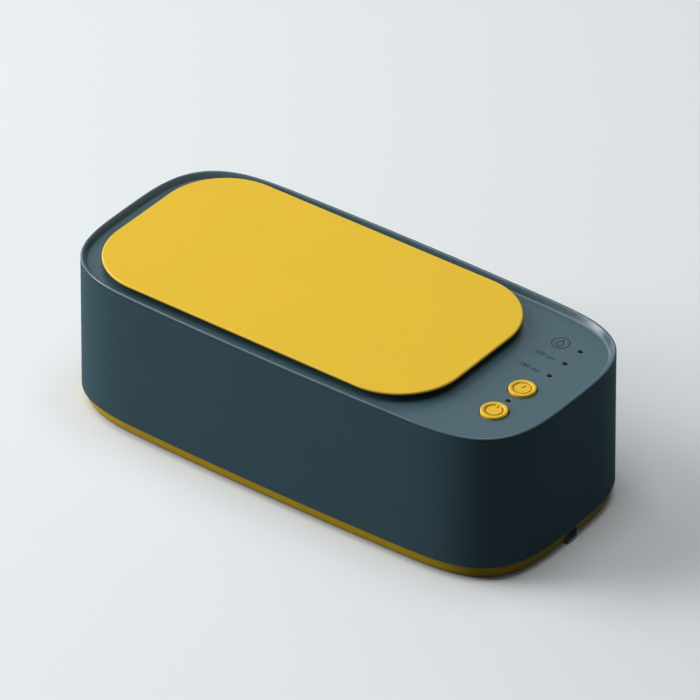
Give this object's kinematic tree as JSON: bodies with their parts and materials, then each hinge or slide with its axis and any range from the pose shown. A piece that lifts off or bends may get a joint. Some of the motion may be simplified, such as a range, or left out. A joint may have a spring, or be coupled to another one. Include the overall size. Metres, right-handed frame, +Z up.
{
  "type": "ultrasonic cleaner",
  "caption": "Table-top ultrasonic cleaner: long soft-cornered case with a lift-off lid over a steel tank, push buttons and indicator lights at one end, a tucked-in base and a low-voltage inlet.",
  "frame": {"origin": "centre of the footprint at table level, under the rubber feet", "axes": "+X along the length towards the control end, -Y towards the long front side, +Z up"},
  "size_m": [0.2012, 0.0936, 0.0627],
  "materials": {
    "slate_plastic": "fine satin moulded texture, dark blue-grey",
    "yellow_plastic": "smooth satin, warm yellow",
    "stainless_steel": "drawn and polished",
    "zinc_steel": "bright zinc plate",
    "silicone": "soft, pale",
    "rubber": "matt black",
    "piezo_ceramic": "silvered ceramic",
    "bond_resin": "cured epoxy",
    "black_plastic": "moulded black",
    "white_plastic": "moulded white",
    "smoked_acrylic": "etched, smoked dark",
    "led_lens": "clear epoxy",
    "board_green": "glass-epoxy board with solder mask",
    "copper_winding": "enamelled copper wire",
    "ferrite": "sintered dark grey",
    "aluminium": "extruded",
    "capacitor_sleeve": "shrink sleeve",
    "brass": "turned contact",
    "red_insulation": "wire insulation",
    "grey_insulation": "cable sheath and plug shells"
  },
  "bodies": {
    "housing": {"body_shell": "slate_plastic", "top_deck": "slate_plastic", "jack_bezel": "zinc_steel", "base_cover": "yellow_plastic", "tank": "stainless_steel", "tank_gasket": "silicone", "foot_1": "rubber", "foot_2": "rubber", "foot_3": "rubber", "foot_4": "rubber", "piezo_disc": "piezo_ceramic", "piezo_bond": "bond_resin", "power_switch": "black_plastic", "timer_switch": "black_plastic", "dc_jack": "black_plastic", "mosfet": "black_plastic", "piezo_lead_return": "black_plastic", "light_guide_power": "smoked_acrylic", "light_guide_1": "smoked_acrylic", "light_guide_2": "smoked_acrylic", "light_guide_3": "smoked_acrylic", "led_power": "led_lens", "led_1": "led_lens", "led_2": "led_lens", "led_3": "led_lens", "control_board": "board_green", "driver_board": "board_green", "transformer_coil": "copper_winding", "inductor": "copper_winding", "transformer_core": "ferrite", "heatsink": "aluminium", "capacitor": "capacitor_sleeve", "jack_pin": "brass", "piezo_lead_live": "red_insulation", "control_cable": "grey_insulation", "control_plug": "grey_insulation", "driver_plug": "grey_insulation", "base_screw_1": "zinc_steel", "base_screw_2": "zinc_steel", "base_screw_3": "zinc_steel", "base_screw_4": "zinc_steel", "driver_board_screw_1": "zinc_steel", "driver_board_screw_2": "zinc_steel", "driver_board_screw_3": "zinc_steel", "driver_board_screw_4": "zinc_steel", "control_board_screw_1": "zinc_steel", "control_board_screw_2": "zinc_steel"},
    "lid": {"lid": "yellow_plastic", "lid_seal": "silicone"},
    "power_button": {"power_button": "yellow_plastic", "power_plunger": "white_plastic"},
    "timer_button": {"timer_button": "yellow_plastic", "timer_plunger": "white_plastic"}
  },
  "joints": [
    {"name": "lid_lift", "type": "slide", "parent": "housing", "child": "lid", "axis": [0, 0, 1], "range_m": [0, 0.12]},
    {"name": "power_button_press", "type": "slide", "parent": "housing", "child": "power_button", "axis": [0, 0, -1], "range_m": [0, 0.0005], "stiffness_N_per_m": 800},
    {"name": "timer_button_press", "type": "slide", "parent": "housing", "child": "timer_button", "axis": [0, 0, -1], "range_m": [0, 0.0005], "stiffness_N_per_m": 800}
  ]
}
